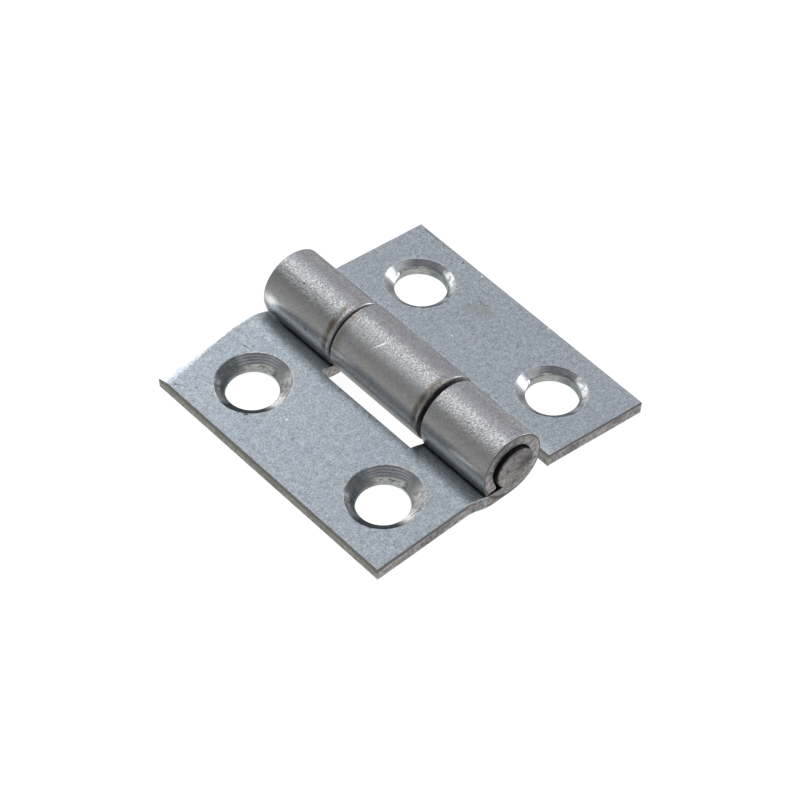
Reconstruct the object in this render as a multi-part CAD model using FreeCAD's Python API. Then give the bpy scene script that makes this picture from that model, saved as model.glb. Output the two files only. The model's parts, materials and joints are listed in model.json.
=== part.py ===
import FreeCAD, Part
import math
import os

# A narrow butt hinge of folded steel sheet, lying open on a table as a low tent: the outer edges
# of both leaves rest on the table and the barrel stands just clear of it. One leaf carries the
# two end knuckles, the other the middle knuckle, and a plain pin runs through all three.
# X runs across the leaves, Y along the pin from the near end to the far end, and Z up.

Vector = FreeCAD.Vector
ALONG = Vector(0, 1, 0)
UP = Vector(0, 0, 1)

# Sheet and pin
sheet = 1.08                    # thickness of the sheet that both leaves are stamped from
leaf_length = 25.4              # length of both leaves along the pin
pin_radius = 1.76
pin_clearance = 0.08            # running fit of the middle knuckle on the pin
pin_standout = 0.40             # how far the pin stands out of the barrel at its near end
pin_set_back = 0.10             # how far the pin stays inside the barrel at its far end
pin_chamfer = 0.08

# Knuckles, in their order along the pin, with the play between them
near_knuckle_length = 7.12
near_play = 0.36
middle_knuckle_length = 9.92
far_play = 0.18

# Leaves, measured from the pin axis
two_leaf_reach = 13.26          # out to the edge of the leaf with two knuckles
two_leaf_drop = 1.02            # down to its flat upper face
one_leaf_reach = 13.56          # out to the edge of the leaf with one knuckle
one_leaf_drop = 1.24            # down to its flat upper face
two_leaf_notch_reach = 3.76     # out to the edge of the notch that clears the middle knuckle
one_leaf_notch_reach = 3.90     # out to the edges of the notches that clear the end knuckles
opening_angle = 188.96          # between the upper faces of the leaves as the hinge lies

# The swage bend, which lowers the sheet, and the curl, which wraps it round the pin
swage_radius = 3.20             # of the middle of the sheet, in both halves of the bend
swage_end = 1.70                # from the pin axis to where the bend has become level again
curl_stop = 192.0               # direction from the pin in which the round part of the curl ends
curl_tail = 0.90                # straight end of the strip after the round part

# Rolled and broken edges of the stamped sheet
upper_edge_round = 0.12         # around the upper face of a leaf
near_mouth_round = 0.22         # mouth of the bore at the near end of the barrel
near_rim_round = 0.22           # outer rim of a knuckle at its near end, inside the barrel
end_rim_round = 0.09            # the same rim at the near end of the barrel
rim_start_round = 0.03          # either rim where the curl starts, right below the pin
round_run_in = 40.0             # turn of the curl, in degrees, over which both grow round
far_rim_chamfer = 0.10          # outer rim of a knuckle at its far end
far_mouth_chamfer = 0.10        # mouth of a knuckle's bore at its far end

# The far edge of the leaf with two knuckles rolls down towards its outer corner, as stamping leaves it
roll_start = 4.9                # from the pin axis to where the edge starts to roll down
roll_width = 1.2                # of the rolled part at the outer edge of the leaf
roll_radius = 4.8               # of the rolled part at the outer edge of the leaf
roll_room = 0.3                 # depth at the outer edge of the wedge that the rolled part is cut with

# Screw holes: two in each leaf, punched through and then countersunk from above, a little off centre
hole_spacing = 15.15
hole_radius = 2.10
sink_angle = 100.0
sink_off_centre = 0.19          # towards the pin
two_leaf_sink_radius = 3.00
two_leaf_hole_reach = 8.51      # from the pin axis to the line of the holes
two_leaf_hole_middle = -0.24    # middle of the pair along the pin, from the middle of the leaf
one_leaf_sink_radius = 2.80
one_leaf_hole_reach = 9.01
one_leaf_hole_middle = -0.09

# Places worked out from the sizes above
near_end = -leaf_length / 2
far_end = leaf_length / 2
near_joint = near_end + near_knuckle_length
middle_start = near_joint + near_play
middle_stop = middle_start + middle_knuckle_length
far_joint = middle_stop + far_play
past = 1.0                      # how far a cutting tool runs past the face that it cuts
same = 1e-4                     # distance below which two places are the same


def polar(radius, direction):
    """Point in the cross-section at the pin: direction in degrees from +X towards +Z."""
    turn = math.radians(direction)
    return Vector(radius * math.cos(turn), 0, radius * math.sin(turn))


def line(start, stop):
    return Part.LineSegment(start, stop).toShape()


def arc(start, middle, stop):
    return Part.Arc(start, middle, stop).toShape()


def swage_faces(drop, outer_radius, side):
    """One face of the swage bend, from the curl to the flat leaf: the upper face with side 1, the
    lower one with side -1. It returns the two arcs and the distance at which the flat leaf starts."""
    fall = outer_radius - drop - sheet
    bend = math.acos(1 - fall / (2 * swage_radius))
    start = swage_end + 2 * swage_radius * math.sin(bend)
    low_centre = Vector(-swage_end, 0, -outer_radius + sheet / 2 + swage_radius)
    high_centre = Vector(-start, 0, -drop - sheet / 2 - swage_radius)
    low_radius = swage_radius - side * sheet / 2
    high_radius = swage_radius + side * sheet / 2
    low = [low_centre + polar(low_radius, -90 - math.degrees(bend) * share) for share in (0, 0.5, 1)]
    high = [high_centre + polar(high_radius, 90 - math.degrees(bend) * share) for share in (1, 0.5, 0)]
    return [arc(*low), arc(*high)], start


def sheet_side(reach, drop, radius, outer_radius, side):
    """One face of the strip in the cross-section, in three lists of edges: in the leaf, from the outer
    edge to right below the pin, in the start of the curl, where its rim grows round, and from there
    to the free end. Radius is that of the curl on this face, which is the upper or inner one with
    side 1 and the lower or outer one with side -1."""
    level = -drop if side > 0 else -drop - sheet
    swage, start = swage_faces(drop, outer_radius, side)
    leaf_part = [line(Vector(-reach, 0, level), Vector(-start, 0, level)), swage[1], swage[0]]
    leaf_part.append(line(Vector(-swage_end, 0, -radius), polar(radius, -90)))
    run_in = round_run_in - 90
    start_part = [arc(polar(radius, -90), polar(radius, (run_in - 90) / 2), polar(radius, run_in))]
    round_end = polar(radius, curl_stop)
    tail_end = round_end + polar(curl_tail, curl_stop + 90)
    curl_part = [arc(polar(radius, run_in), polar(radius, (run_in + curl_stop) / 2), round_end)]
    curl_part.append(line(round_end, tail_end))
    return leaf_part, start_part, curl_part


def between(upper, lower):
    """The filled face between two runs of edges, which are joined end to end by straight lines."""
    first = line(upper[0].Vertexes[0].Point, lower[0].Vertexes[0].Point)
    last = line(upper[-1].Vertexes[-1].Point, lower[-1].Vertexes[-1].Point)
    return Part.Face(Part.Wire(Part.__sortEdges__(upper + lower + [first, last])))


def strip(reach, drop, bore_radius):
    """Cross-section of a leaf on the -X side of the pin: its three stretches as filled faces, the
    curves of the whole upper face, and the curves of the curl's outer face."""
    outer_radius = bore_radius + sheet
    upper = sheet_side(reach, drop, bore_radius, outer_radius, 1)
    lower = sheet_side(reach, drop, outer_radius, outer_radius, -1)
    stretches = [between(above, below) for above, below in zip(upper, lower)]
    return stretches, Part.makeCompound(sum(upper, [])), Part.makeCompound(lower[1] + lower[2])


def middle_of(edge):
    return edge.valueAt((edge.FirstParameter + edge.LastParameter) / 2)


def lies_on(edge, curves):
    """Whether an edge lies on one face of the sheet, whose cross-section is given as curves."""
    middle = middle_of(edge)
    return Part.Vertex(Vector(middle.x, 0, middle.z)).distToShape(curves)[0] < same


def lies_across(edge):
    """Whether an edge lies in one plane across the pin, as those at the ends of a knuckle do."""
    return edge.BoundBox.YLength < same


def end_edges(solid, curves, place):
    """The edges on one face of the sheet in its end at this place along the pin."""
    return [edge for edge in solid.Edges if lies_across(edge) and lies_on(edge, curves)
            and abs(middle_of(edge).y - place) < same]


def knuckle(start_face, curl_face, inner_curves, outer_curves, start, stop):
    """One curl: its near end is rolled round outside, and inside too at the end of the barrel, both
    growing from the start of the curl on. Its far end is broken by chamfers."""
    stretches = []
    for face in (start_face, curl_face):
        base = face.copy()
        base.translate(ALONG * start)
        stretches.append(base.extrude(ALONG * (stop - start)))
    run_in, curl = stretches
    rim_round = end_rim_round if start == near_end else near_rim_round
    run_in = run_in.makeFillet(rim_round, rim_start_round, end_edges(run_in, outer_curves, start))
    curl = curl.makeFillet(rim_round, end_edges(curl, outer_curves, start))
    if start == near_end:
        mouth = end_edges(run_in, inner_curves, start)
        run_in = run_in.makeFillet(upper_edge_round, near_mouth_round, mouth)
        curl = curl.makeFillet(near_mouth_round, end_edges(curl, inner_curves, start))
    solid = run_in.fuse(curl).removeSplitter()
    solid = solid.makeChamfer(far_rim_chamfer, end_edges(solid, outer_curves, stop))
    return solid.makeChamfer(far_mouth_chamfer, end_edges(solid, inner_curves, stop))


def notch(start, stop, side, notch_reach):
    """Cutting block between two places along the pin, from the notch edge inwards past the pin."""
    size = 4 * notch_reach
    block = Part.makeBox(size, stop - start, size)
    corner = -notch_reach if side < 0 else notch_reach - size
    block.translate(Vector(corner, start, -size / 2))
    return block


def screw_hole(x, y, side, upper_level, sink_radius):
    """Cutting tool for one screw hole: the punched hole and the cone of the countersink."""
    floor = Vector(x, y, upper_level - sheet - past)
    punched = Part.makeCylinder(hole_radius, sheet + 2 * past, floor, UP)
    flare = math.tan(math.radians(sink_angle / 2))
    depth = sink_radius / flare
    tip = Vector(x - side * sink_off_centre, y, upper_level - depth)
    sink = Part.makeCone(0, sink_radius + flare * past, depth + past, tip, UP)
    return punched.fuse(sink)


def upper_arrises(solid, curves, side, reach, notch_reach):
    """Edges around the upper face of a leaf, apart from the sides of the notches, which stay sharp."""
    found = []
    for edge in solid.Edges:
        middle = middle_of(edge)
        at_leaf_end = lies_across(edge) and abs(abs(middle.y) - leaf_length / 2) < same
        at_outer_edge = abs(middle.x - side * reach) < same
        at_notch = abs(middle.x - side * notch_reach) < same
        if lies_on(edge, curves) and (at_leaf_end or at_outer_edge or at_notch):
            found.append(edge)
    return found


def leaf(side, reach, drop, notch_reach, bore_radius, knuckles, hole_reach, hole_middle, sink_radius):
    """One leaf with its knuckles, before it is tilted. Side is -1 for a leaf on the -X side of the pin
    and 1 for one on the +X side. Knuckles holds the start and the stop of each along the pin."""
    (leaf_face, start_face, curl_face), upper_curves, outer_curves = strip(reach, drop, bore_radius)
    if side > 0:
        for shape in (leaf_face, start_face, curl_face, upper_curves, outer_curves):
            shape.rotate(Vector(0, 0, 0), UP, 180)
    leaf_face.translate(ALONG * near_end)
    solid = leaf_face.extrude(ALONG * leaf_length)
    gap_start = near_end - past
    for start, stop in knuckles:
        if start > near_end:
            solid = solid.cut(notch(gap_start, start, side, notch_reach))
        gap_start = stop
    if gap_start < far_end:
        solid = solid.cut(notch(gap_start, far_end + past, side, notch_reach))
    solid = solid.makeFillet(upper_edge_round, upper_arrises(solid, upper_curves, side, reach, notch_reach))
    for start, stop in knuckles:
        solid = solid.fuse(knuckle(start_face, curl_face, upper_curves, outer_curves, start, stop))
    solid = solid.removeSplitter()
    for along in (-hole_spacing / 2, hole_spacing / 2):
        solid = solid.cut(screw_hole(side * hole_reach, hole_middle + along, side, -drop, sink_radius))
    return solid


def edge_roll():
    """Cutting tool for the far edge of the leaf with two knuckles: a wedge over a cone. The cone touches
    the upper face from below, along a line that leaves the edge where the roll starts."""
    tip = Vector(-roll_start, far_end, -two_leaf_drop)
    length = two_leaf_reach - roll_start
    spread = math.degrees(math.atan2(roll_width, length))
    half_angle = math.atan2(roll_radius, math.hypot(length, roll_width))
    height = 2 * length
    under = Vector(-math.cos(half_angle), 0, -math.sin(half_angle))
    cone = Part.makeCone(0, height * math.tan(half_angle), height, tip, under)
    far = tip - Vector(2 * length, 0, 2 * roll_room)
    corners = [tip, far, Vector(far.x, far.y, tip.z + past), tip + UP * past, tip]
    wedge = Part.Face(Part.makePolygon(corners)).extrude(ALONG * 2 * length)
    roll = wedge.cut(cone)
    roll.rotate(tip, UP, spread)
    return roll


def two_knuckle_leaf():
    """The leaf on the -X side: its end knuckles grip the pin, on both sides of the middle knuckle."""
    knuckles = [(near_end, near_joint), (far_joint, far_end)]
    solid = leaf(-1, two_leaf_reach, two_leaf_drop, two_leaf_notch_reach, pin_radius, knuckles,
                 two_leaf_hole_reach, two_leaf_hole_middle, two_leaf_sink_radius)
    return solid.cut(edge_roll())


def one_knuckle_leaf():
    """The leaf on the +X side: its knuckle turns on the pin between the two others."""
    knuckles = [(middle_start, middle_stop)]
    return leaf(1, one_leaf_reach, one_leaf_drop, one_leaf_notch_reach, pin_radius + pin_clearance,
                knuckles, one_leaf_hole_reach, one_leaf_hole_middle, one_leaf_sink_radius)


def hinge_pin():
    start = near_end - pin_standout
    length = far_end - pin_set_back - start
    pin = Part.makeCylinder(pin_radius, length, Vector(0, start, 0), ALONG)
    ends = [edge for edge in pin.Edges if lies_across(edge)]
    return pin.makeChamfer(pin_chamfer, ends)


def level_droop():
    """Droop in degrees of the leaf with two knuckles that brings both outer edges down level."""
    total = math.radians(opening_angle - 180)
    two_foot = two_leaf_drop + sheet
    one_foot = one_leaf_drop + sheet
    across = two_leaf_reach + one_leaf_reach * math.cos(total) - one_foot * math.sin(total)
    fall = one_leaf_reach * math.sin(total) + one_foot * math.cos(total) - two_foot
    return math.degrees(math.atan2(fall, across))


def main():
    os.makedirs("parts", exist_ok=True)
    droop = level_droop()
    nodes = {
        "two_knuckle_leaf": two_knuckle_leaf(),
        "one_knuckle_leaf": one_knuckle_leaf(),
        "hinge_pin": hinge_pin(),
    }
    nodes["two_knuckle_leaf"].rotate(Vector(0, 0, 0), ALONG, -droop)
    nodes["one_knuckle_leaf"].rotate(Vector(0, 0, 0), ALONG, opening_angle - 180 - droop)
    box = Part.makeCompound(list(nodes.values())).optimalBoundingBox(False)
    seat = Vector(-box.Center.x, -box.Center.y, -box.ZMin)
    for name, shape in nodes.items():
        shape.translate(seat)
        shape.exportStep("parts/" + name + ".step")


main()
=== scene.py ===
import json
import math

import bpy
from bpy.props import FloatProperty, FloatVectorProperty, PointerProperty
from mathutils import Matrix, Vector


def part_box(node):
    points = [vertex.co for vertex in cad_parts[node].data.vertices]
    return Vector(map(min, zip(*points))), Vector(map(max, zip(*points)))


bl_info = {
    "name": "Narrow Butt Hinge",
    "version": (1, 0, 0),
    "blender": (4, 5, 0),
    "location": "3D View > Sidebar > Butt Hinge",
    "description": "Finishes a narrow butt hinge of zinc-plated steel and sets up its studio",
    "category": "Object",
}

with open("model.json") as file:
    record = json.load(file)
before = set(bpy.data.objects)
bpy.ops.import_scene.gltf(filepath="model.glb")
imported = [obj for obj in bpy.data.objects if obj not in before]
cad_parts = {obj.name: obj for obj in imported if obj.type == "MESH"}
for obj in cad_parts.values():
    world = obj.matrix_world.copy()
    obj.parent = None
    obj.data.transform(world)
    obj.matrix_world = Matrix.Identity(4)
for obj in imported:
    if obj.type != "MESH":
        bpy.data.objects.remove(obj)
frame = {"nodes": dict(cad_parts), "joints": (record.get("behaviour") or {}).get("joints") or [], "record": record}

# Lengths are in metres and angles in radians. X runs across the leaves, Y along the pin from its
# standing-out end, Z up. Places on a leaf are given in the leaf's own level: x from the pin axis,
# y from the middle of the leaf, z from the pin axis.
MM = 0.001
PIN_AXIS = Vector(frame["joints"][0]["pos_m"])
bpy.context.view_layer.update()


class Leaf:
    """One leaf as the frame has it: its node, its side of the pin, its tilt and its screw holes.

    drawn_from is the depth from which the punch drew the wall of a countersink upright, chatter
    says how strongly the countersinking tool left rings, cut_sides which highlights and shade
    are painted on each side of the cut, and knuckled along which stretches of the pin this leaf is curled."""

    def __init__(self, node, sink_radius, drawn_from, chatter, cut_sides, knuckled):
        self.node = node
        self.sink_radius = sink_radius
        self.drawn_from = drawn_from
        self.chatter = chatter
        self.cut_sides = cut_sides
        self.knuckled = knuckled
        low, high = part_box(node)
        self.middle = (low[1] + high[1]) / 2
        self.barrel_radius = high[2] - PIN_AXIS.z
        screws = next(m for m in frame["record"]["mounts"] if m["name"] == node + "_screws")
        self.tilt = math.atan2(screws["axis"][0], screws["axis"][2])
        self.hole_spacing = screws["dims"]["pcd_mm"] * MM
        self.hole_radius = screws["dims"]["hole_r_mm"] * MM
        hole_line = self.to_level(Vector(screws["pos_m"]))
        self.side = math.copysign(1, hole_line.x)
        self.hole_reach = abs(hole_line.x)
        self.hole_middle = hole_line.y
        self.upper_face = hole_line.z + SHEET

    def turn(self):
        return Matrix.Rotation(self.tilt, 3, "Y")

    def origin(self):
        return Vector((PIN_AXIS.x, self.middle, PIN_AXIS.z))

    def to_level(self, place):
        """A place in the frame, seen in the level of the leaf."""
        return self.turn().inverted() @ (place - self.origin())

    def on_face(self, x, y):
        """A place on the upper face, given in millimetres in the level of the leaf."""
        return self.origin() + self.turn() @ Vector((x * MM, y * MM, self.upper_face))

    def on_barrel(self, y, direction):
        """A place on the barrel: y in millimetres, direction in degrees from +X towards +Z."""
        turn = math.radians(direction)
        return self.origin() + Vector((self.barrel_radius * math.cos(turn), y * MM,
                                       self.barrel_radius * math.sin(turn)))


SHEET = 1.08 * MM               # thickness of both leaves
# Places along the pin, in millimetres from the middle of the leaf
NEAR_JOINT = -5.4               # between the near and the middle knuckle
FAR_JOINT = 4.9                 # between the middle and the far knuckle
PAST_END = 13.0                 # just past either end of the barrel
# Sides of a countersink and their painted light and shade: look, direction from +X towards +Y
# and half width in degrees, strength
TWO_KNUCKLE_LEAF = Leaf(
    "two_knuckle_leaf", sink_radius=3.00 * MM, drawn_from=0.55 * MM, chatter=1.0,
    cut_sides=(("sooty", 100, 38, 0.60), ("tarnished", 140, 42, 0.80), ("sooty", 216, 54, 1.15),
               ("long_glint", 303, 46, 1.0), ("short_glint", 140, 14, 0.9)),
    knuckled=((-PAST_END, NEAR_JOINT), (FAR_JOINT, PAST_END)))
ONE_KNUCKLE_LEAF = Leaf(
    "one_knuckle_leaf", sink_radius=2.80 * MM, drawn_from=0.40 * MM, chatter=0.25,
    cut_sides=(("sooty", 232, 56, 0.80), ("tarnished", 335, 66, 0.75),
               ("short_glint", 326, 42, 1.0)),
    knuckled=((NEAR_JOINT, FAR_JOINT),))


class HingeFinish(bpy.types.PropertyGroup):
    """Colours and sizes of the finishes."""

    leaf_colour: FloatVectorProperty(
        name="Leaf zinc", description="Bluish zinc plating on the flat leaves",
        subtype="COLOR", size=3, min=0, max=1, default=(0.500, 0.553, 0.612))
    barrel_colour: FloatVectorProperty(
        name="Barrel zinc", description="Greyer zinc plating where the sheet is curled",
        subtype="COLOR", size=3, min=0, max=1, default=(0.600, 0.600, 0.615))
    dull_colour: FloatVectorProperty(
        name="Dull zinc", description="Greenish zinc in the duller clouds of the plating",
        subtype="COLOR", size=3, min=0, max=1, default=(0.500, 0.545, 0.560))
    # Mauve tint on the right of the barrel's top, laid there as painted shade as well
    mauve_and_shade_colour: FloatVectorProperty(
        name="Mauve zinc", description="Mauve tarnish on the top of the barrel",
        subtype="COLOR", size=3, min=0, max=1, default=(0.395, 0.400, 0.460))
    # Near-black of pits and hairlines, and of the painted shade in the crevices beside the barrel and on the
    # shaded sides of the countersinks
    grime_and_shade_colour: FloatVectorProperty(
        name="Grime", description="Near-black dirt in the crevices beside the barrel",
        subtype="COLOR", size=3, min=0, max=1, default=(0.060, 0.070, 0.075))
    sheared_colour: FloatVectorProperty(
        name="Sheared edge", description="Warm greenish grey of the sheared edges of the sheet",
        subtype="COLOR", size=3, min=0, max=1, default=(0.330, 0.330, 0.300))
    end_colour: FloatVectorProperty(
        name="Sheared end", description="Mauve grey of the sheared ends of leaves and barrel",
        subtype="COLOR", size=3, min=0, max=1, default=(0.600, 0.570, 0.570))
    # Dark brown of the burnished line on sheared edges, and of the painted shade along the rims of the barrel ends
    burnished_and_rim_shade_colour: FloatVectorProperty(
        name="Burnished line",
        description="Dark brown of the line under the upper arris of a sheared edge",
        subtype="COLOR", size=3, min=0, max=1, default=(0.200, 0.185, 0.170))
    sink_colour: FloatVectorProperty(
        name="Countersink", description="Bluish grey of the cut countersinks",
        subtype="COLOR", size=3, min=0, max=1, default=(0.600, 0.620, 0.650))
    # Painted dark reflection on one side of each countersink
    dark_reflection_colour: FloatVectorProperty(
        name="Tarnish", description="Dark greenish blue of the tarnished side of a countersink",
        subtype="COLOR", size=3, min=0, max=1, default=(0.130, 0.180, 0.190))
    # Pale blue of the painted highlight on the lip around each countersink
    lip_highlight_colour: FloatVectorProperty(
        name="Lip", description="Pale blue of the lip that stands up around a countersink",
        subtype="COLOR", size=3, min=0, max=1, default=(0.850, 0.880, 0.920))
    # White of cut, scratched and nicked metal, and of the painted glints in the countersinks
    bare_and_glint_colour: FloatVectorProperty(
        name="Bare metal", description="White of freshly cut, scratched or nicked metal",
        subtype="COLOR", size=3, min=0, max=1, default=(1.000, 1.000, 1.000))
    punched_colour: FloatVectorProperty(
        name="Punched wall", description="Pale grey of the punched walls of the screw holes",
        subtype="COLOR", size=3, min=0, max=1, default=(0.920, 0.935, 0.900))
    pin_colour: FloatVectorProperty(
        name="Pin end", description="Brownish grey of the sheared ends of the pin",
        subtype="COLOR", size=3, min=0, max=1, default=(0.520, 0.480, 0.465))
    # Near-black of the pin's side: old oil, and painted shade in the gap around the pin's end
    oil_and_shade_colour: FloatVectorProperty(
        name="Old oil", description="Near-black of the pin inside the barrel",
        subtype="COLOR", size=3, min=0, max=1, default=(0.030, 0.030, 0.030))
    smudge_colour: FloatVectorProperty(
        name="Smudge", description="Dark smudge at the side of the pin end",
        subtype="COLOR", size=3, min=0, max=1, default=(0.170, 0.150, 0.170))
    blush_colour: FloatVectorProperty(
        name="Blush", description="Pinkish patch near the middle of the pin end",
        subtype="COLOR", size=3, min=0, max=1, default=(0.660, 0.540, 0.560))
    haze_colour: FloatVectorProperty(
        name="Haze", description="Yellowish brown of the soft patch on the one-knuckle leaf",
        subtype="COLOR", size=3, min=0, max=1, default=(0.440, 0.415, 0.365))
    # Painted reflection of the bright floor beyond the hinge, on the far knuckle
    painted_reflection_colour: FloatVectorProperty(
        name="Gloss", description="Cool white of the shiny place on the far knuckle",
        subtype="COLOR", size=3, min=0, max=1, default=(0.950, 0.980, 1.000))
    # Brown of the small stains, and of the painted shade in bands beside the rims of the knuckles
    stain_and_shade_colour: FloatVectorProperty(
        name="Stain", description="Brown of the small stains in the plating",
        subtype="COLOR", size=3, min=0, max=1, default=(0.250, 0.215, 0.185))
    grain_size: FloatProperty(
        name="Grain", description="Size of the mottled grain of the plating",
        unit="LENGTH", min=0.02 * MM, max=1 * MM, precision=5, default=0.135 * MM)
    grain_height: FloatProperty(
        name="Grain height", description="Height of the grain above the plating",
        unit="LENGTH", min=0, max=0.01 * MM, precision=6, default=0.0022 * MM)
    sink_off_centre: FloatProperty(
        name="Countersink offset",
        description="How far a countersink lies from its hole, towards the pin",
        unit="LENGTH", min=0, max=1 * MM, precision=5, default=0.19 * MM)
    ring_pitch: FloatProperty(
        name="Tool ring pitch",
        description="Distance between the rings that the countersinking tool left",
        unit="LENGTH", min=0.02 * MM, max=1 * MM, precision=5, default=0.17 * MM)


class HingeStudio(bpy.types.PropertyGroup):
    """Camera, lights and floor."""

    camera_aim: FloatVectorProperty(
        name="Aim", description="Point that the camera looks at",
        subtype="TRANSLATION", unit="LENGTH", size=3, precision=5,
        default=(-1.992 * MM, -1.992 * MM, 3.0 * MM))
    camera_azimuth: FloatProperty(
        name="Azimuth",
        description="Direction of the camera around the hinge, from straight in front",
        subtype="ANGLE", default=math.radians(-42.70))
    camera_elevation: FloatProperty(
        name="Elevation", description="Height of the camera above the floor, as an angle",
        subtype="ANGLE", default=math.radians(46.21))
    camera_roll: FloatProperty(
        name="Roll", description="Turn of the camera around its line of sight",
        subtype="ANGLE", default=math.radians(2.26))
    camera_distance: FloatProperty(
        name="Distance", description="From the aim to the camera",
        unit="LENGTH", min=0.05, max=5, default=284.13 * MM)
    camera_lens: FloatProperty(
        name="Lens", description="Focal length on a sensor 36 mm wide",
        subtype="DISTANCE_CAMERA", min=10, max=500, default=170.54)
    floor_colour: FloatVectorProperty(
        name="Floor", description="Colour of the pale floor",
        subtype="COLOR", size=3, min=0, max=1, default=(0.30, 0.30, 0.30))
    floor_glow: FloatProperty(
        name="Floor glow", description="Light that comes up through the floor, as in a light table",
        min=0, max=2, default=0.93)


STUDIO_DISTANCE = 3.0           # of the softboxes from the hinge
SOFTBOX_COLOUR = (0.965, 0.995, 1.0)
# name, direction from the hinge, angular radius in degrees, brightness
SOFTBOXES = (
    ("back_softbox", (-0.080, 0.790, 0.605), 19.5, 0.78),
    ("back_softbox_rim", (-0.080, 0.790, 0.605), 25.5, 0.78),
    ("low_softbox", (0.330, 0.820, 0.470), 8.0, 5.5),
    ("side_softbox", (0.900, -0.320, 0.300), 12.0, 3.0),
)


class Finish:
    """The node tree of one material. Each call adds a node and gives back its output."""

    def __init__(self, name):
        self.material = bpy.data.materials.new(name)
        self.material.use_nodes = True
        self.nodes = self.material.node_tree.nodes
        self.links = self.material.node_tree.links
        self.nodes.clear()
        self.place = self.nodes.new("ShaderNodeTexCoord")

    def feed(self, socket, value):
        """Links a socket to the output of another node, or sets it."""
        if isinstance(value, bpy.types.NodeSocket):
            self.links.new(value, socket)
        else:
            socket.default_value = value

    def math(self, operation, *values):
        node = self.nodes.new("ShaderNodeMath")
        node.operation = operation
        for socket, value in zip(node.inputs, values):
            self.feed(socket, value)
        return node.outputs["Value"]

    def vector(self, operation, *values, output="Vector"):
        node = self.nodes.new("ShaderNodeVectorMath")
        node.operation = operation
        for socket, value in zip(node.inputs, values):
            self.feed(socket, value)
        return node.outputs[output]

    def dot(self, first, second):
        return self.vector("DOT_PRODUCT", first, second, output="Value")

    def split(self, vector):
        node = self.nodes.new("ShaderNodeSeparateXYZ")
        self.feed(node.inputs["Vector"], vector)
        return [node.outputs[axis] for axis in "XYZ"]

    def join(self, x, y, z):
        node = self.nodes.new("ShaderNodeCombineXYZ")
        for socket, value in zip(node.inputs, (x, y, z)):
            self.feed(socket, value)
        return node.outputs["Vector"]

    def level(self, origin, tilt):
        """Object coordinates, moved and turned into the level of a leaf."""
        node = self.nodes.new("ShaderNodeMapping")
        node.vector_type = "TEXTURE"
        node.inputs["Location"].default_value = origin
        node.inputs["Rotation"].default_value = (0, tilt, 0)
        self.links.new(self.place.outputs["Object"], node.inputs["Vector"])
        return node.outputs["Vector"]

    def fade(self, value, start, stop):
        """Rises smoothly from 0 where the value is at start to 1 where it is at stop."""
        node = self.nodes.new("ShaderNodeMapRange")
        node.interpolation_type = "SMOOTHSTEP"
        self.feed(node.inputs["Value"], value)
        self.feed(node.inputs["From Min"], start)
        self.feed(node.inputs["From Max"], stop)
        return node.outputs["Result"]

    def band(self, value, start, full, last, stop):
        """Rises from 0 at start to 1 at full, stays there to last and falls to 0 at stop. The
        bounds are in millimetres and run either way."""
        return self.both(self.fade(value, start * MM, full * MM),
                         self.fade(value, stop * MM, last * MM))

    def inverse(self, share):
        return self.math("SUBTRACT", 1.0, share)

    def spread(self, value, low, high):
        """Stretches a value of 0 to 1 to run from low to high."""
        return self.math("MULTIPLY_ADD", value, high - low, low)

    def noise(self, vector, size, detail=2.0, roughness=0.5, stretch=(1, 1, 1)):
        if stretch != (1, 1, 1):
            vector = self.vector("DIVIDE", vector, stretch)
        node = self.nodes.new("ShaderNodeTexNoise")
        node.inputs["Scale"].default_value = 1 / size
        node.inputs["Detail"].default_value = detail
        node.inputs["Roughness"].default_value = roughness
        self.feed(node.inputs["Vector"], vector)
        return node.outputs["Fac"]

    def mix(self, share, below, above):
        """Colour between two: the one below where share is 0, the one above where it is 1."""
        node = self.nodes.new("ShaderNodeMix")
        node.data_type = "RGBA"
        self.feed(node.inputs["Factor"], share)
        self.feed(node.inputs[6], below)
        self.feed(node.inputs[7], above)
        return node.outputs[2]

    def shade(self, colour, factor):
        """A colour, made lighter or darker."""
        node = self.nodes.new("ShaderNodeVectorMath")
        node.operation = "SCALE"
        self.feed(node.inputs[0], colour)
        self.feed(node.inputs["Scale"], factor)
        return node.outputs["Vector"]

    def blend(self, share, below, above):
        """Number between two: the one below where share is 0, the one above where it is 1."""
        node = self.nodes.new("ShaderNodeMix")
        node.data_type = "FLOAT"
        self.feed(node.inputs[0], share)
        self.feed(node.inputs[2], below)
        self.feed(node.inputs[3], above)
        return node.outputs[0]

    def both(self, *shares):
        """Product of shares: 1 where every share is 1."""
        product = shares[0]
        for share in shares[1:]:
            product = self.math("MULTIPLY", product, share)
        return product

    def spot(self, centre, radius, softness=0.5):
        """1 at a place in the frame, falling to 0 at a radius around it."""
        distance = self.vector("DISTANCE", self.place.outputs["Object"], centre, output="Value")
        return self.fade(distance, radius, radius * (1 - softness))

    def stroke(self, start, stop, width):
        """1 along a straight line between two places, thinning out to its far end."""
        run = stop - start
        from_start = self.vector("SUBTRACT", self.place.outputs["Object"], start)
        share = self.math("DIVIDE", self.dot(from_start, run), run.length_squared)
        share = self.math("MINIMUM", self.math("MAXIMUM", share, 0.0), 1.0)
        distance = self.vector("DISTANCE", from_start, self.shade(run, share), output="Value")
        half_width = self.math("MULTIPLY", self.math("SUBTRACT", 1.15, share), width / 2)
        return self.fade(self.math("DIVIDE", distance, half_width), 1.0, 0.3)

    def bump(self, height):
        """Normal of a surface that stands out by a height in metres."""
        node = self.nodes.new("ShaderNodeBump")
        node.inputs["Strength"].default_value = 1.0
        node.inputs["Distance"].default_value = 1.0
        self.feed(node.inputs["Height"], height)
        return node.outputs["Normal"]

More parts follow.
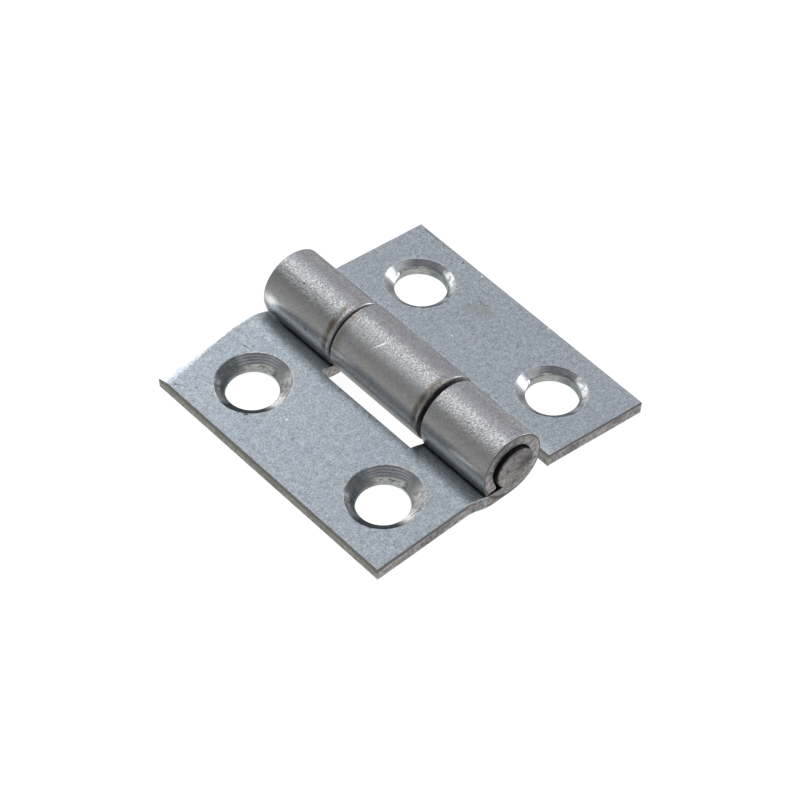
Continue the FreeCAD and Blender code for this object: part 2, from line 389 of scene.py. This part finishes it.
    def metal(self, colour, roughness, normal, painted_shade=0.0):
        """Closes the tree with metal, which is no metal any more where the painted shade is 1."""
        shader = self.nodes.new("ShaderNodeBsdfPrincipled")
        shader.inputs["Specular IOR Level"].default_value = 0.1
        self.feed(shader.inputs["Metallic"], self.inverse(painted_shade))
        self.feed(shader.inputs["Base Color"], colour)
        self.feed(shader.inputs["Roughness"], roughness)
        self.feed(shader.inputs["Normal"], normal)
        output = self.nodes.new("ShaderNodeOutputMaterial")
        self.links.new(shader.outputs["BSDF"], output.inputs["Surface"])
        return self.material


def opaque(colour):
    return (*colour, 1.0)


# Sizes of the clouds, blotches and dashes in the plating
CLOUD_SIZE = 2.2 * MM
BLOTCH_SIZE = 0.7 * MM
DASH_SIZE = 0.10 * MM
# What the grain, the mottle and an even ground add to the tone of the plating
GRAIN_TONE, MOTTLE_TONE, EVEN_TONE = 1.3, 0.5, 0.10
# Direction in which the countersinking tool was pushed: across the leaf and along the pin
PUSH_ACROSS, PUSH_ALONG = 0.68, 0.73
SKIN = 0.004 * MM               # depth within which a place counts as lying on a face of the sheet


class ZincFinish(Finish):
    """Zinc plating of one leaf. Each step lays one thing over the colour, roughness and height."""

    def __init__(self, leaf, settings):
        super().__init__("zinc_" + leaf.node)
        self.leaf = leaf
        self.settings = settings
        self.object_place = self.place.outputs["Object"]
        # Share of painted shade, where the plating turns into a rough, dark coat
        self.painted_shade = 0.0
        self.x, self.y, self.z = self.split(self.level(leaf.origin(), leaf.tilt))
        self.from_axis = self.vector("LENGTH", self.join(self.x, 0.0, self.z), output="Value")
        self.on_leaf = self.fade(self.from_axis, leaf.barrel_radius, leaf.barrel_radius + 0.3 * MM)
        self.on_barrel = self.inverse(self.on_leaf)
        self.plate()
        self.tint_and_light_curl()
        self.shade_rims()
        self.shade_crevices()
        self.shear_edges()
        self.countersink()
        self.mark()

    def finished(self):
        return self.metal(self.colour, self.roughness, self.bump(self.height), self.painted_shade)

    def lay(self, share, colour):
        self.colour = self.mix(share, self.colour, colour)

    def plate(self):
        """Bluer on the leaf and greyer on the barrel, in soft clouds with a fine mottled grain."""
        settings = self.settings
        colour = self.mix(self.on_leaf, opaque(settings.barrel_colour),
                          opaque(settings.leaf_colour))
        cloud = self.noise(self.object_place, CLOUD_SIZE, detail=3.0)
        dull = self.math("MULTIPLY", self.fade(cloud, 0.38, 0.72), 0.45)
        colour = self.mix(dull, colour, opaque(settings.dull_colour))
        grain = self.noise(self.object_place, settings.grain_size, detail=1.0)
        mottle = self.noise(self.object_place, 3 * settings.grain_size, detail=2.0)
        tone = self.math("MULTIPLY_ADD", grain, GRAIN_TONE, EVEN_TONE)
        tone = self.math("MULTIPLY_ADD", mottle, MOTTLE_TONE, tone)
        tone = self.math("MULTIPLY", tone, self.spread(cloud, 0.92, 1.08))
        height = self.math("MULTIPLY", grain, settings.grain_height)
        height = self.math("MULTIPLY_ADD", mottle, 3 * settings.grain_height, height)

        # The left flank of the barrel was pressed smooth in the curling die
        pressed = self.both(self.on_barrel, self.fade(self.x, -1.2 * MM, -1.9 * MM), 0.65)
        tone = self.blend(pressed, tone, 1.0)
        height = self.math("MULTIPLY", height, self.inverse(pressed))

        # Elsewhere, curling drew the grain out into short bright dashes around the barrel
        dashes = self.noise(self.object_place, DASH_SIZE, detail=1.5, stretch=(1.8, 1, 1.8))
        dashes = self.both(self.math("SUBTRACT", dashes, 0.5), self.on_barrel,
                           self.inverse(pressed))
        tone = self.math("MULTIPLY", tone, self.math("MULTIPLY_ADD", dashes, 1.6, 1.0))
        self.height = self.math("MULTIPLY_ADD", dashes, 9.0 * settings.grain_height, height)
        # Painted shade: the highlight bands of the barrel grow darker towards its far end
        self.colour = self.shade(colour, self.math("MULTIPLY", tone, self.inverse(self.highlight_shade_along_barrel())))
        self.roughness = self.spread(mottle, 0.24, 0.36)

    def highlight_shade_along_barrel(self):
        """How much painted shade darkens the barrel's highlight bands towards its far end. Each
        stretch has its own rate, as a share per metre along the pin."""
        top = self.both(self.band(self.x, 0.2, -0.3, -0.9, -1.4), self.on_barrel, 0.006 / MM)
        flank = self.both(self.fade(self.x, 1.4 * MM, 2.1 * MM), self.on_barrel, 0.016 / MM)
        shoulder = self.both(self.band(self.x, -0.75, -1.05, -1.5, -2.1), self.on_barrel,
                             0.014 / MM)
        darker = self.both(self.math("ADD", top, flank), self.y)
        return self.math("ADD", darker, self.both(shoulder, self.math("ADD", self.y, 8.0 * MM)))

    def tint_and_light_curl(self):
        """A mauve tint on the right of the barrel's top, which also paints shade on that flank of the
        highlight, and a strip where the leaf runs into the barrel, painted lighter and made rougher."""
        # Painted shade with a mauve tint on the flank of the barrel's highlight
        mauve_shade = self.both(self.band(self.x, -0.35, 0.05, 1.1, 1.7), self.on_barrel, 0.42)
        self.lay(mauve_shade, opaque(self.settings.mauve_and_shade_colour))
        # Painted light: the strip where the leaf runs into the barrel is made 20 per cent lighter
        lit_strip = self.band(self.from_axis, 5.1, 4.5, 4.0, 3.6)
        self.colour = self.shade(self.colour, self.math("MULTIPLY_ADD", lit_strip, 0.20, 1.0))
        root = self.both(self.on_leaf, self.fade(self.from_axis, 5.6 * MM, 3.6 * MM))
        self.roughness = self.math("MULTIPLY_ADD", root, 0.14, self.roughness)

    def shade_rims(self):
        """Painted shade in blotchy brown bands beside the rims of the knuckles."""
        stain = opaque(self.settings.stain_and_shade_colour)
        side = self.both(self.fade(self.x, 0.8 * MM, -1.0 * MM),
                         self.fade(self.z, -0.8 * MM, 0.6 * MM))
        blotches = self.noise(self.object_place, BLOTCH_SIZE, detail=3.0)
        for start, stop in self.leaf.knuckled:
            if start < NEAR_JOINT:
                continue
            # Painted shade: blotchy brown bands behind the near rim and before the far rim of each knuckle
            near = self.band(self.y, start + 0.25, start + 0.50, start + 0.60, start + 1.05)
            self.lay(self.both(near, side, self.spread(blotches, -0.2, 2.0), self.on_barrel), stain)
            if stop < PAST_END:
                far = self.fade(self.y, (stop - 1.3) * MM, (stop - 0.5) * MM)
                self.lay(self.both(far, side, self.spread(blotches, 0.1, 0.8), self.on_barrel),
                         stain)

    def shade_crevices(self):
        """Painted shade where the leaf runs into the barrel, and under the free ends of the curls."""
        beside = self.fade(self.from_axis, 3.5 * MM, 2.9 * MM)
        upper = self.math("GREATER_THAN", self.z, self.leaf.upper_face - 1.2 * MM)
        knuckled = 0.0
        for start, stop in self.leaf.knuckled:
            inside = self.band(self.y, start - 0.2, start + 0.2, stop - 0.2, stop + 0.2)
            knuckled = self.math("MAXIMUM", knuckled, inside)
        on_leaf = self.both(beside, upper, knuckled, self.on_leaf)
        outward = self.math("MULTIPLY", self.x, self.leaf.side)
        under_curl = self.both(self.fade(self.z, 0.1 * MM, -1.0 * MM), self.on_barrel,
                               self.fade(outward, 1.2 * MM, 2.0 * MM))
        blotches = self.noise(self.object_place, BLOTCH_SIZE, detail=3.0)
        # Painted shade: near-black laid beside the barrel and under the free ends of the curls
        share = self.math("MAXIMUM", self.math("MULTIPLY", on_leaf, 0.40),
                          self.math("MULTIPLY", under_curl, 0.05))
        share = self.math("MULTIPLY", share, self.spread(blotches, 0.6, 1.3))
        self.lay(share, opaque(self.settings.grime_and_shade_colour))

    def mark(self):
        """Small stains, specks and scratches of this leaf, and its painted reflections."""
        for kind, place, size in MARKS[self.leaf.node]:
            if isinstance(place, tuple):
                self.line(kind, *place, size)
            else:
                self.speck(kind, place, size)

    def speck(self, kind, place, size):
        settings = self.settings
        colour, strength = {"stain": (settings.stain_and_shade_colour, 0.5),
                            "haze": (settings.haze_colour, 0.45),
                            "nick": (settings.bare_and_glint_colour, 1.0),
                            # A painted reflection of the bright floor beyond the hinge, not a mark of wear
                            "gloss": (settings.painted_reflection_colour, 1.0),
                            "pit": (settings.grime_and_shade_colour, 0.8)}[kind]
        share = self.math("MULTIPLY", self.spot(place, size, softness=0.8), strength)
        self.lay(share, opaque(colour))
        if kind == "nick":
            self.roughness = self.blend(share, self.roughness, 0.6)

    def line(self, kind, start, stop, width):
        colour, strength = {"scratch": (self.settings.bare_and_glint_colour, 1.0),
                            "hairline": (self.settings.grime_and_shade_colour, 0.6)}[kind]
        share = self.math("MULTIPLY", self.stroke(start, stop, width), strength)
        self.lay(share, opaque(colour))
        if kind == "scratch":
            self.roughness = self.blend(share, self.roughness, 0.45)
            self.height = self.math("MULTIPLY_ADD", share, -0.006 * MM, self.height)

    def shear_edges(self):
        """Sheared edges and ends: a dark burnished line under the upper arris, then torn metal. On the
        ends of the barrel the dark line is painted shade along the outer edge of the rim.
        """
        settings = self.settings
        normal_x, normal_y = self.split(self.place.outputs["Normal"])[:2]
        off_barrel = self.math("GREATER_THAN", self.from_axis, self.leaf.barrel_radius + 0.4 * MM)
        facing_end = self.fade(self.math("ABSOLUTE", normal_y), 0.55, 0.85)
        facing_side = self.fade(self.math("ABSOLUTE", normal_x), 0.75, 0.95)
        sheared = self.math("MAXIMUM", facing_end, self.both(facing_side, off_barrel))
        torn = self.noise(self.object_place, 0.30 * MM, detail=3.0, stretch=(1, 1, 0.85))
        patches = self.noise(self.object_place, 1.6 * MM, detail=2.0)
        colour = self.mix(facing_end, opaque(settings.sheared_colour), opaque(settings.end_colour))
        tone = self.spread(self.fade(torn, 0.30, 0.70), 0.65, 1.35)
        tone = self.math("MULTIPLY", tone, self.spread(self.fade(patches, 0.30, 0.70), 0.80, 1.20))
        colour = self.shade(colour, tone)
        depth = self.math("DIVIDE", self.math("SUBTRACT", self.leaf.upper_face, self.z), SHEET)
        ragged = self.math("MULTIPLY_ADD", patches, 0.35, self.math("MULTIPLY", torn, 0.35))
        ragged = self.math("MULTIPLY_ADD", facing_end, -0.14, ragged)
        line = self.fade(self.math("SUBTRACT", depth, ragged), 0.06, -0.10)
        # Painted shade: on the ends of the barrel, a dark line along the outer edge of the rim
        rim_shade_line = self.fade(self.from_axis, self.leaf.barrel_radius - 0.20 * MM,
                             self.leaf.barrel_radius - 0.10 * MM)
        line = self.blend(off_barrel, self.both(rim_shade_line, self.on_barrel), line)
        colour = self.mix(self.math("MULTIPLY", line, 0.85), colour,
                          opaque(settings.burnished_and_rim_shade_colour))
        self.lay(sheared, colour)
        self.roughness = self.blend(sheared, self.roughness, 0.42)
        self.height = self.math("MULTIPLY_ADD", self.both(torn, sheared), 0.007 * MM, self.height)

    def countersink(self):
        """Punched holes and their countersinks, cut by a tool that chattered and left rings, with
        painted highlights and shade on the sides of the cut.
        """
        leaf, settings = self.leaf, self.settings
        along = self.math("SUBTRACT", self.y, leaf.hole_middle)
        which = self.math("SIGN", along)
        hole_y = self.math("MULTIPLY_ADD", which, -leaf.hole_spacing / 2, along)
        hole_x = self.math("SUBTRACT", self.x, leaf.side * leaf.hole_reach)
        sink_x = self.math("ADD", hole_x, leaf.side * settings.sink_off_centre)
        from_hole = self.vector("LENGTH", self.join(hole_x, hole_y, 0.0), output="Value")
        from_sink = self.vector("LENGTH", self.join(sink_x, hole_y, 0.0), output="Value")
        # The back of the leaf keeps its plating around the holes
        off_back = self.math("GREATER_THAN", self.z, leaf.upper_face - SHEET + SKIN)
        below_face = self.both(self.math("LESS_THAN", self.z, leaf.upper_face - SKIN), off_back)

        wobble = self.noise(self.object_place, 0.8 * MM, detail=2.0)
        chatter = self.noise(self.object_place, 0.22 * MM, detail=1.0)
        rim = self.math("MULTIPLY_ADD", chatter, 0.16 * MM, leaf.sink_radius - 0.07 * MM)
        # Painted highlight: a pale, broken line on the lip just outside the rim of each countersink
        lip_highlight = self.both(self.fade(from_sink, leaf.sink_radius + 0.16 * MM,
                                  leaf.sink_radius + 0.06 * MM),
                        self.fade(chatter, 0.45, 0.60), off_back)
        self.lay(self.math("MULTIPLY", lip_highlight, 0.7), opaque(settings.lip_highlight_colour))
        chipped = self.both(self.math("LESS_THAN", from_sink, rim), off_back)
        within = self.both(self.math("LESS_THAN", from_sink, leaf.sink_radius + 0.02 * MM),
                           below_face)
        in_sink = self.math("MAXIMUM", within, chipped)

        # The tool chattered on the side that it was pushed to, and cut smoothly on the other
        pushed = self.math("ADD", self.math("MULTIPLY", sink_x, PUSH_ACROSS),
                           self.math("MULTIPLY", hole_y, PUSH_ALONG))
        pushed = self.math("DIVIDE", pushed, from_sink)
        chattered = self.math("MULTIPLY", self.fade(pushed, 0.60, 0.88), leaf.chatter)
        ring_turn = self.math("DIVIDE", from_sink, settings.ring_pitch)
        ring_turn = self.math("MULTIPLY_ADD", wobble, 1.2, ring_turn)
        rings = self.both(self.math("SINE", self.math("MULTIPLY", ring_turn, 2 * math.pi)),
                          chattered)
        uneven = self.noise(self.object_place, 1.1 * MM, detail=2.0)
        ring_tone = self.math("MULTIPLY_ADD", rings, 0.26, self.spread(chatter, 0.70, 1.10))
        ring_tone = self.math("MULTIPLY", ring_tone, self.spread(uneven, 0.5, 1.5))
        ring_tone = self.math("MULTIPLY", ring_tone, self.spread(chattered, 1.0, 1.35))
        self.lay(in_sink, self.shade(settings.sink_colour, ring_tone))
        self.height = self.math("MULTIPLY_ADD", self.both(in_sink, rings), 0.0045 * MM, self.height)
        self.roughness = self.blend(in_sink, self.roughness, 0.26)

        torn = self.noise(self.object_place, 0.5 * MM, detail=3.0, stretch=(1, 1, 0.25))
        punched = self.shade(settings.punched_colour, self.spread(torn, 0.3, 1.5))
        in_hole = self.both(self.math("LESS_THAN", from_hole, leaf.hole_radius + 0.01 * MM),
                            below_face)
        self.lay(in_hole, punched)
        self.roughness = self.blend(in_hole, self.roughness, 0.40)

        # Above the hole, the punch drew the wall of a countersink upright over this depth
        depth = self.math("SUBTRACT", leaf.upper_face - leaf.drawn_from, self.z)
        depth = self.math("MULTIPLY_ADD", self.math("SUBTRACT", wobble, 0.5), -0.3 * MM, depth)
        drawn = self.both(self.math("GREATER_THAN", depth, 0.0), self.fade(pushed, 0.60, 0.85),
                          in_sink, self.inverse(in_hole))
        self.lay(drawn, punched)
        self.height = self.math("MULTIPLY_ADD", self.both(drawn, depth), -1.0, self.height)

        # Each side of the cut is painted with its own light: white glints, which reach further in from
        # the rim on some sides than on others, a dark reflection beside the hole, and shade all over
        near_rim = self.fade(from_sink, leaf.sink_radius + 0.16 * MM,
                             leaf.sink_radius + 0.04 * MM)
        streaks = self.noise(self.object_place, 0.35 * MM, detail=3.0)
        patchy = self.spread(streaks, 0.7, 1.3)
        for kind, direction, width, strength in leaf.cut_sides:
            turn = math.radians(direction)
            toward = self.math("ADD", self.math("MULTIPLY", sink_x, math.cos(turn)),
                               self.math("MULTIPLY", hole_y, math.sin(turn)))
            side = self.fade(self.math("DIVIDE", toward, from_sink),
                             math.cos(math.radians(width)), math.cos(math.radians(0.4 * width)))
            # Painted highlight: white glints near the rim
            if kind in ("short_glint", "long_glint"):
                reach = {"short_glint": 0.50, "long_glint": 1.05}[kind] * MM
                outer = self.fade(from_sink, leaf.sink_radius - reach,
                                  leaf.sink_radius - 0.6 * reach)
                share = self.both(side, in_sink, outer, self.fade(streaks, 0.40, 0.56), strength)
                self.lay(share, opaque(settings.bare_and_glint_colour))
            elif kind == "tarnished":
                # Painted dark reflection: dark greenish blue beside the hole
                inner = self.fade(from_sink, leaf.sink_radius - 0.25 * MM,
                                  leaf.sink_radius - 0.55 * MM)
                share = self.both(side, inner, below_face, patchy, strength)
                self.lay(share, opaque(settings.dark_reflection_colour))
            else:
                # Painted shade: near-black, rough and no metal, all over this side of the cut
                share = self.both(side, near_rim, off_back, patchy, strength)
                self.lay(share, opaque(settings.grime_and_shade_colour))
                self.painted_shade = self.math("MAXIMUM", self.painted_shade, self.math("MINIMUM", share, 1.0))
                self.roughness = self.blend(share, self.roughness, 0.9)


def face_line(leaf, kind, start, stop, width):
    return (kind, (leaf.on_face(*start), leaf.on_face(*stop)), width * MM)


def barrel_line(leaf, kind, start, stop, width):
    return (kind, (leaf.on_barrel(*start), leaf.on_barrel(*stop)), width * MM)


# Marks of wear on each leaf, and painted reflections: kind, place, and radius or width
MARKS = {
    TWO_KNUCKLE_LEAF.node: (
        ("stain", TWO_KNUCKLE_LEAF.on_face(-9.75, 1.0), 0.30 * MM),
        ("nick", TWO_KNUCKLE_LEAF.on_face(-8.85, 2.8), 0.16 * MM),
        ("pit", TWO_KNUCKLE_LEAF.on_face(-10.74, 5.32), 0.28 * MM),
        ("pit", TWO_KNUCKLE_LEAF.on_face(-10.95, -9.30), 0.26 * MM),
        ("pit", TWO_KNUCKLE_LEAF.on_face(-12.80, 11.27), 0.14 * MM),
        ("pit", TWO_KNUCKLE_LEAF.on_face(-11.80, 9.87), 0.13 * MM),
        face_line(TWO_KNUCKLE_LEAF, "hairline", (-6.48, 10.75), (-6.34, 9.95), 0.16),
        face_line(TWO_KNUCKLE_LEAF, "hairline", (-5.89, 10.17), (-6.40, 10.05), 0.12),
        face_line(TWO_KNUCKLE_LEAF, "hairline", (-12.80, 11.30), (-12.10, 10.10), 0.10),
        # Painted reflection of the bright floor beyond the far end of the barrel
        ("gloss", TWO_KNUCKLE_LEAF.on_barrel(11.6, 179), 1.05 * MM),
        ("pit", TWO_KNUCKLE_LEAF.on_barrel(7.66, 174.6), 0.17 * MM),
        ("pit", TWO_KNUCKLE_LEAF.on_barrel(9.74, 114.9), 0.15 * MM),
    ),
    ONE_KNUCKLE_LEAF.node: (
        ("haze", ONE_KNUCKLE_LEAF.on_face(10.65, 2.15), 1.20 * MM),
        ("haze", ONE_KNUCKLE_LEAF.on_face(9.85, 3.05), 0.80 * MM),
        face_line(ONE_KNUCKLE_LEAF, "hairline", (11.20, 3.10), (11.10, 2.55), 0.16),
        face_line(ONE_KNUCKLE_LEAF, "hairline", (11.10, 2.55), (11.50, 2.15), 0.14),
        ("nick", ONE_KNUCKLE_LEAF.on_face(6.8, 1.45), 0.13 * MM),
        ("nick", ONE_KNUCKLE_LEAF.on_face(13.25, 5.15), 0.16 * MM),
        ("nick", ONE_KNUCKLE_LEAF.on_face(13.40, -2.38), 0.16 * MM),
        ("pit", ONE_KNUCKLE_LEAF.on_face(13.1, 7.2), 0.16 * MM),
        ("pit", ONE_KNUCKLE_LEAF.on_face(13.2, 9.6), 0.14 * MM),
        ("pit", ONE_KNUCKLE_LEAF.on_face(10.1, -2.45), 0.14 * MM),
        face_line(ONE_KNUCKLE_LEAF, "hairline", (13.32, 12.0), (13.32, 8.2), 0.14),
        barrel_line(ONE_KNUCKLE_LEAF, "scratch", (0.97, 112.6), (0.60, 93), 0.22),
        barrel_line(ONE_KNUCKLE_LEAF, "scratch", (0.97, 112.6), (1.69, 135.4), 0.22),
    ),
}


def pin_finish(settings):
    """Duller steel of the pin: a sheared, swirled end, and a near-black side, which is old oil in
    the barrel and painted shade in the gap around the pin's end.
    """
    finish = Finish("pin_steel")
    place = finish.place.outputs["Object"]
    across_x, _, across_z = finish.split(finish.vector("SUBTRACT", place, PIN_AXIS))
    swirl_place = finish.join(finish.math("ADD", across_x, 0.35 * MM), 0.0,
                              finish.math("ADD", across_z, 0.5 * MM))
    swirl = finish.vector("LENGTH", swirl_place, output="Value")
    grain = finish.noise(place, 0.3 * MM, detail=4.0)
    turns = finish.math("MULTIPLY_ADD", grain, 3.0, finish.math("DIVIDE", swirl, 0.50 * MM))
    arcs = finish.math("SINE", finish.math("MULTIPLY", turns, 2 * math.pi))
    torn = finish.noise(place, 0.9 * MM, detail=4.0)
    tone = finish.math("MULTIPLY_ADD", arcs, 0.18,
                       finish.spread(finish.fade(grain, 0.3, 0.7), 0.7, 1.3))
    tone = finish.math("MULTIPLY", tone, finish.spread(finish.fade(torn, 0.3, 0.7), 0.7, 1.3))
    colour = finish.shade(settings.pin_colour, tone)
    for patch_colour, x, z, radius, strength in ((settings.smudge_colour, 1.1, 0.35, 1.15, 0.8),
                                                 (settings.blush_colour, -0.4, -0.55, 0.55, 0.6)):
        centre = PIN_AXIS + Vector((x, -PAST_END, z)) * MM
        patch = finish.math("MULTIPLY", finish.spot(centre, radius * MM, softness=0.9), strength)
        colour = finish.mix(patch, colour, opaque(patch_colour))
    # Painted shade and old oil: the side of the pin is near-black, for the dark gap between pin and bore
    normal_y = finish.split(finish.place.outputs["Normal"])[1]
    on_end = finish.fade(finish.math("ABSOLUTE", normal_y), 0.5, 0.9)
    colour = finish.mix(on_end, opaque(settings.oil_and_shade_colour), colour)
    height = finish.math("MULTIPLY_ADD", arcs, 0.003 * MM,
                         finish.math("MULTIPLY", grain, 0.012 * MM))
    return finish.metal(colour, finish.spread(grain, 0.35, 0.5), finish.bump(height))


def dress(node, material):
    """Gives a node of the frame one material in place of its own."""
    slots = frame["nodes"][node].data.materials
    slots.clear()
    slots.append(material)


class HINGE_OT_finish_leaves(bpy.types.Operator):
    """Finish both leaves in zinc plating"""

    bl_idname = "hinge.finish_leaves"
    bl_label = "Finish Leaves"

    def execute(self, context):
        for leaf in (TWO_KNUCKLE_LEAF, ONE_KNUCKLE_LEAF):
            dress(leaf.node, ZincFinish(leaf, context.scene.hinge_finish).finished())
        return {"FINISHED"}


class HINGE_OT_finish_pin(bpy.types.Operator):
    """Finish the pin in dull steel"""

    bl_idname = "hinge.finish_pin"
    bl_label = "Finish Pin"

    def execute(self, context):
        dress("hinge_pin", pin_finish(context.scene.hinge_finish))
        return {"FINISHED"}


class HINGE_OT_set_studio(bpy.types.Operator):
    """Lay the floor, hang the lights and place the camera"""

    bl_idname = "hinge.set_studio"
    bl_label = "Set Studio"

    def execute(self, context):
        studio = context.scene.hinge_studio
        lay_floor(studio)
        for softbox in SOFTBOXES:
            hang_softbox(context.scene, *softbox)
        fill_room(context.scene, studio)
        place_camera(context.scene, studio)
        context.scene.view_settings.view_transform = "Standard"
        return {"FINISHED"}


def lay_floor(studio):
    """A pale floor that glows softly, and that the plating doesn't mirror."""
    bpy.ops.object.select_all(action="DESELECT")
    bpy.ops.mesh.primitive_plane_add(size=6.0)
    floor = bpy.context.object
    floor.name = "floor"
    floor.visible_glossy = False
    material = bpy.data.materials.new("pale_floor")
    material.use_nodes = True
    shader = material.node_tree.nodes["Principled BSDF"]
    shader.inputs["Base Color"].default_value = opaque(studio.floor_colour)
    shader.inputs["Roughness"].default_value = 1.0
    shader.inputs["Specular IOR Level"].default_value = 0.0
    shader.inputs["Emission Color"].default_value = (1, 1, 1, 1)
    shader.inputs["Emission Strength"].default_value = studio.floor_glow
    floor.data.materials.append(material)


def hang_softbox(scene, name, direction, angular_radius, brightness):
    """A round softbox, aimed at the hinge, as bright as a glowing surface of that brightness."""
    toward = Vector(direction).normalized()
    radius = STUDIO_DISTANCE * math.tan(math.radians(angular_radius))
    light = bpy.data.lights.new(name, "AREA")
    light.shape = "DISK"
    light.size = 2 * radius
    light.energy = brightness * math.pi * (math.pi * radius ** 2)
    light.color = SOFTBOX_COLOUR
    holder = bpy.data.objects.new(name, light)
    holder.location = toward * STUDIO_DISTANCE
    holder.rotation_euler = toward.to_track_quat("Z", "Y").to_euler()
    holder.visible_camera = False
    scene.collection.objects.link(holder)


ROOM_LEFT = (0.270, 0.270, 0.268, 1.0)
ROOM_LEFT_LOW = (0.385, 0.370, 0.335, 1.0)
ROOM_RIGHT = (0.490, 0.485, 0.495, 1.0)
ROOM_UPPER_RIGHT = (0.640, 0.640, 0.650, 1.0)
ROOM_BELOW = (0.420, 0.425, 0.430, 1.0)
ROOM_BELOW_BEYOND = (1.050, 1.050, 1.030, 1.0)
BEHIND_CAMERA = (0.200, 0.200, 0.210, 1.0)


def fill_room(scene, studio):
    """A room that is dim and warm on the left, lighter on the right, and dark around the camera.

    It is made of layers. Each runs from one colour to another over a range of one component of the
    direction, and the last ones say what the plating mirrors from below the edge of the floor."""
    world = bpy.data.worlds.new("studio_room")
    world.use_nodes = True
    scene.world = world
    nodes, links = world.node_tree.nodes, world.node_tree.links
    direction = nodes.new("ShaderNodeTexCoord").outputs["Generated"]
    split = nodes.new("ShaderNodeSeparateXYZ")
    links.new(direction, split.inputs["Vector"])
    toward_camera = nodes.new("ShaderNodeVectorMath")
    toward_camera.operation = "DOT_PRODUCT"
    toward_camera.inputs[1].default_value = away_from_aim(studio)
    links.new(direction, toward_camera.inputs[0])

    def layer(value, start, stop, below, above):
        share = nodes.new("ShaderNodeMapRange")
        share.interpolation_type = "SMOOTHSTEP"
        share.inputs["From Min"].default_value = start
        share.inputs["From Max"].default_value = stop
        links.new(value, share.inputs["Value"])
        mix = nodes.new("ShaderNodeMix")
        mix.data_type = "RGBA"
        links.new(share.outputs["Result"], mix.inputs["Factor"])
        for socket, colour in ((mix.inputs[6], below), (mix.inputs[7], above)):
            if isinstance(colour, bpy.types.NodeSocket):
                links.new(colour, socket)
            else:
                socket.default_value = colour
        return mix.outputs[2]

    left = layer(split.outputs["Z"], 0.0, 0.38, ROOM_LEFT_LOW, ROOM_LEFT)
    right = layer(split.outputs["Z"], 0.45, 0.65, ROOM_RIGHT, ROOM_UPPER_RIGHT)
    walls = layer(split.outputs["X"], -0.5, 0.6, left, right)
    walls = layer(toward_camera.outputs["Value"], 0.70, 0.92, walls, BEHIND_CAMERA)
    beyond = layer(split.outputs["Y"], 0.2, 0.45, ROOM_BELOW, ROOM_BELOW_BEYOND)
    beyond = layer(split.outputs["X"], -0.5, -0.25, beyond, ROOM_BELOW)
    below = layer(split.outputs["Z"], -0.50, -0.36, beyond, ROOM_BELOW)
    far_below = layer(split.outputs["Y"], 0.60, 0.75, below, ROOM_BELOW_BEYOND)
    below = layer(split.outputs["X"], -0.15, 0.0, below, far_below)
    room = layer(split.outputs["Z"], -0.12, 0.0, below, walls)
    links.new(room, nodes["Background"].inputs["Color"])


def away_from_aim(studio):
    """Direction from the aim to the camera."""
    flat = math.cos(studio.camera_elevation)
    return Vector((math.sin(studio.camera_azimuth) * flat,
                   -math.cos(studio.camera_azimuth) * flat,
                   math.sin(studio.camera_elevation)))


def place_camera(scene, studio):
    """The camera, on a sphere around its aim."""
    away = away_from_aim(studio)
    data = bpy.data.cameras.new("camera")
    data.lens = studio.camera_lens
    data.sensor_width = 36.0
    data.clip_start = 0.01
    holder = bpy.data.objects.new("camera", data)
    holder.location = Vector(studio.camera_aim) + away * studio.camera_distance
    roll = Matrix.Rotation(studio.camera_roll, 3, "Z")
    holder.rotation_euler = (away.to_track_quat("Z", "Y").to_matrix() @ roll).to_euler()
    scene.collection.objects.link(holder)
    scene.camera = holder


class HINGE_PT_panel(bpy.types.Panel):
    """Sidebar panel of the hinge"""

    bl_label = "Butt Hinge"
    bl_space_type = "VIEW_3D"
    bl_region_type = "UI"
    bl_category = "Butt Hinge"

    def draw(self, context):
        for operator in OPERATORS:
            self.layout.operator(operator.bl_idname)
        for group in (context.scene.hinge_finish, context.scene.hinge_studio):
            column = self.layout.column()
            for name in group.__annotations__:
                column.prop(group, name)


OPERATORS = (HINGE_OT_finish_leaves, HINGE_OT_finish_pin, HINGE_OT_set_studio)
CLASSES = (HingeFinish, HingeStudio, *OPERATORS, HINGE_PT_panel)


def register():
    for kind in CLASSES:
        bpy.utils.register_class(kind)
    bpy.types.Scene.hinge_finish = PointerProperty(type=HingeFinish)
    bpy.types.Scene.hinge_studio = PointerProperty(type=HingeStudio)


def unregister():
    del bpy.types.Scene.hinge_finish
    del bpy.types.Scene.hinge_studio
    for kind in reversed(CLASSES):
        bpy.utils.unregister_class(kind)


def main():
    register()
    bpy.ops.hinge.finish_leaves()
    bpy.ops.hinge.finish_pin()
    bpy.ops.hinge.set_studio()


if __name__ == "__main__":
    main()
